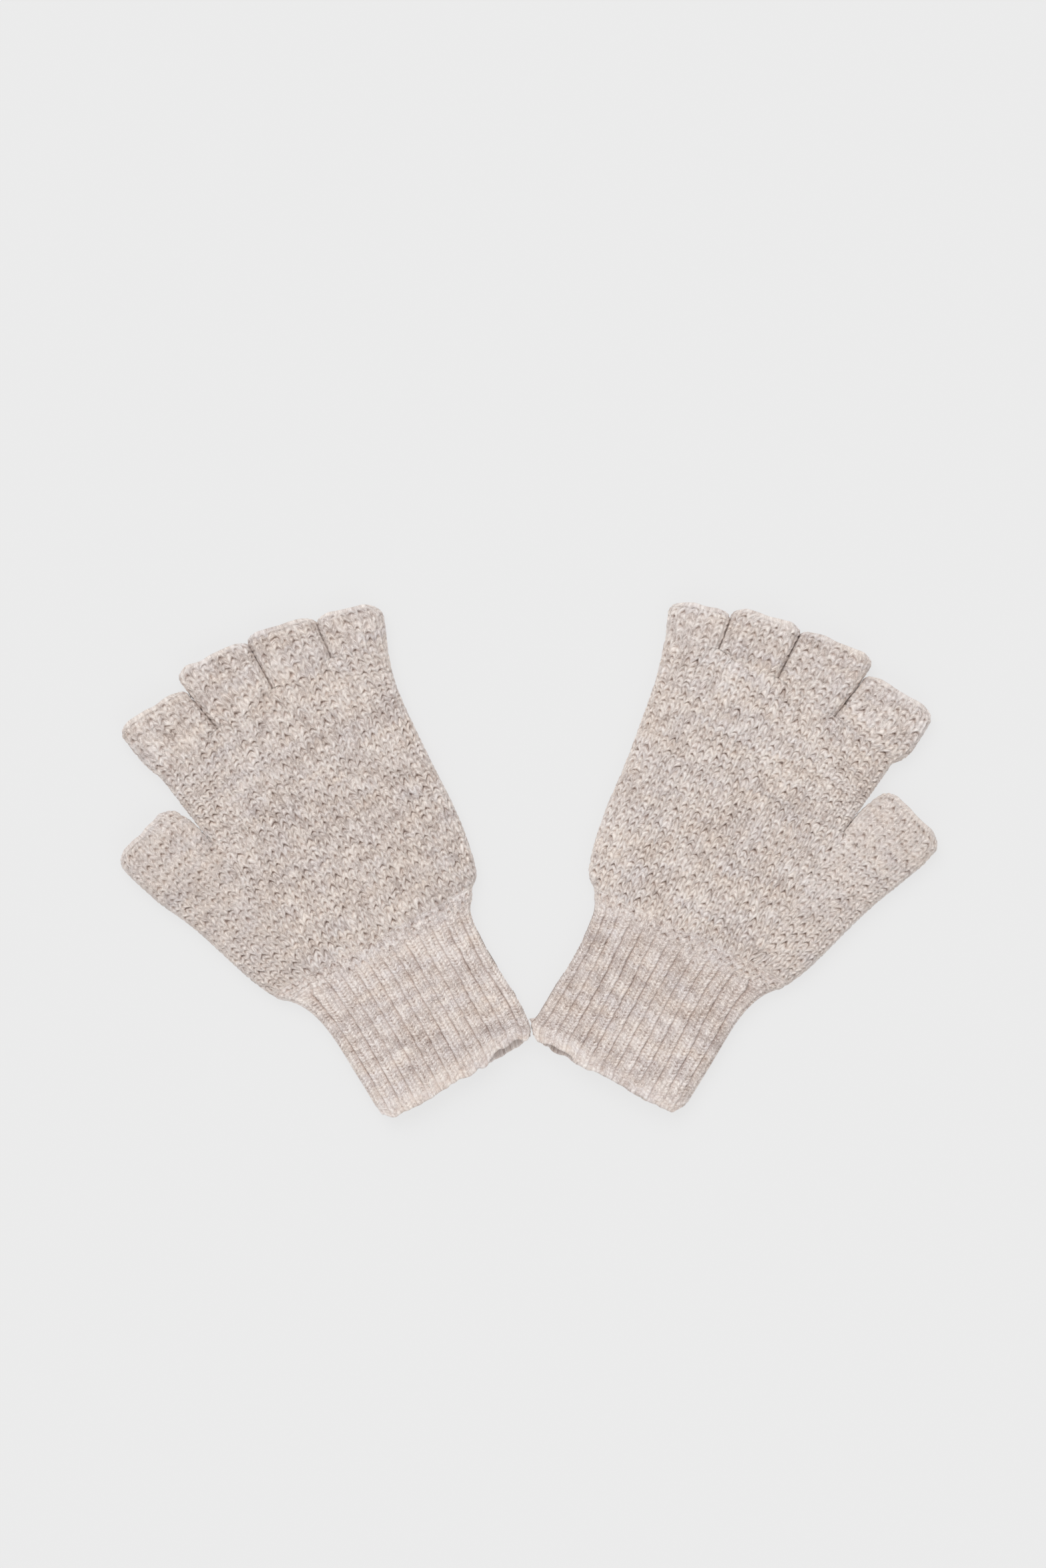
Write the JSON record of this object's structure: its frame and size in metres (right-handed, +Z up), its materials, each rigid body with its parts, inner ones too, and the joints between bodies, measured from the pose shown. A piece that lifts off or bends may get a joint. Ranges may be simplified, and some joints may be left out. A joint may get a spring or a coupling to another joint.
{
  "type": "pair of fingerless gloves",
  "caption": "Pair of knitted wool gloves with open fingertips and long ribbed cuffs, lying flat side by side.",
  "frame": {"origin": "under the middle of the pair's outline, on the surface that the gloves lie on", "axes": "+X across the pair, from the left glove to the right glove; +Y from the cuffs towards the fingers; +Z up, out of the gloves' upper face"},
  "size_m": [0.3088, 0.1948, 0.0103],
  "materials": {
    "hand_knit": "plain knit, marl wool",
    "rib": "fine rib knit, marl wool",
    "edge": "rolled cast-off edge, marl wool"
  },
  "bodies": {
    "left_hand": {"left_hand": "hand_knit", "left_wrist_seam": "hand_knit"},
    "left_cuff": {"left_cuff": "rib", "left_cuff_hem": "edge"},
    "left_thumb": {"left_thumb": "hand_knit", "left_thumb_hem": "edge"},
    "left_index": {"left_index": "hand_knit", "left_index_hem": "edge"},
    "left_middle": {"left_middle": "hand_knit", "left_middle_hem": "edge"},
    "left_ring": {"left_ring": "hand_knit", "left_ring_hem": "edge"},
    "left_little": {"left_little": "hand_knit", "left_little_hem": "edge"},
    "right_hand": {"right_hand": "hand_knit", "right_wrist_seam": "hand_knit"},
    "right_cuff": {"right_cuff": "rib", "right_cuff_hem": "edge"},
    "right_thumb": {"right_thumb": "hand_knit", "right_thumb_hem": "edge"},
    "right_index": {"right_index": "hand_knit", "right_index_hem": "edge"},
    "right_middle": {"right_middle": "hand_knit", "right_middle_hem": "edge"},
    "right_ring": {"right_ring": "hand_knit", "right_ring_hem": "edge"},
    "right_little": {"right_little": "hand_knit", "right_little_hem": "edge"}
  },
  "joints": [
    {"name": "left_wrist_bend", "type": "hinge", "parent": "left_hand", "child": "left_cuff", "pos_m": [-0.0547, -0.03167, 0.01], "axis": [-0.8829, -0.4695, 0], "range_deg": [0, 80]},
    {"name": "left_thumb_bend", "type": "hinge", "parent": "left_hand", "child": "left_thumb", "pos_m": [-0.12793, -0.00505, 0.01], "axis": [0.6691, 0.7431, 0], "range_deg": [0, 60]},
    {"name": "left_index_bend", "type": "hinge", "parent": "left_hand", "child": "left_index", "pos_m": [-0.12637, 0.03977, 0.01], "axis": [0.7431, 0.6691, 0], "range_deg": [0, 90]},
    {"name": "left_middle_bend", "type": "hinge", "parent": "left_hand", "child": "left_middle", "pos_m": [-0.10611, 0.05656, 0.01], "axis": [0.8241, 0.5664, 0], "range_deg": [0, 90]},
    {"name": "left_ring_bend", "type": "hinge", "parent": "left_hand", "child": "left_ring", "pos_m": [-0.08481, 0.06988, 0.01], "axis": [0.887, 0.4617, 0], "range_deg": [0, 90]},
    {"name": "left_little_bend", "type": "hinge", "parent": "left_hand", "child": "left_little", "pos_m": [-0.06393, 0.07774, 0.01], "axis": [0.9636, 0.2672, 0], "range_deg": [0, 90]},
    {"name": "pair_spread", "type": "slide", "parent": "left_hand", "child": "right_hand", "axis": [1, 0, 0], "range_m": [0, 0.15]},
    {"name": "right_wrist_bend", "type": "hinge", "parent": "right_hand", "child": "right_cuff", "pos_m": [0.05586, -0.0291, 0.01], "axis": [-0.8988, 0.4384, 0], "range_deg": [0, 80]},
    {"name": "right_thumb_bend", "type": "hinge", "parent": "right_hand", "child": "right_thumb", "pos_m": [0.12812, 0.00006, 0.01], "axis": [0.6947, -0.7193, 0], "range_deg": [0, 60]},
    {"name": "right_index_bend", "type": "hinge", "parent": "right_hand", "child": "right_index", "pos_m": [0.125, 0.0448, 0.01], "axis": [0.766, -0.6428, 0], "range_deg": [0, 90]},
    {"name": "right_middle_bend", "type": "hinge", "parent": "right_hand", "child": "right_middle", "pos_m": [0.10416, 0.06087, 0.01], "axis": [0.8434, -0.5373, 0], "range_deg": [0, 90]},
    {"name": "right_ring_bend", "type": "hinge", "parent": "right_hand", "child": "right_ring", "pos_m": [0.08241, 0.07344, 0.01], "axis": [0.9026, -0.4305, 0], "range_deg": [0, 90]},
    {"name": "right_little_bend", "type": "hinge", "parent": "right_hand", "child": "right_little", "pos_m": [0.06127, 0.08057, 0.01], "axis": [0.9724, -0.2334, 0], "range_deg": [0, 90]}
  ]
}
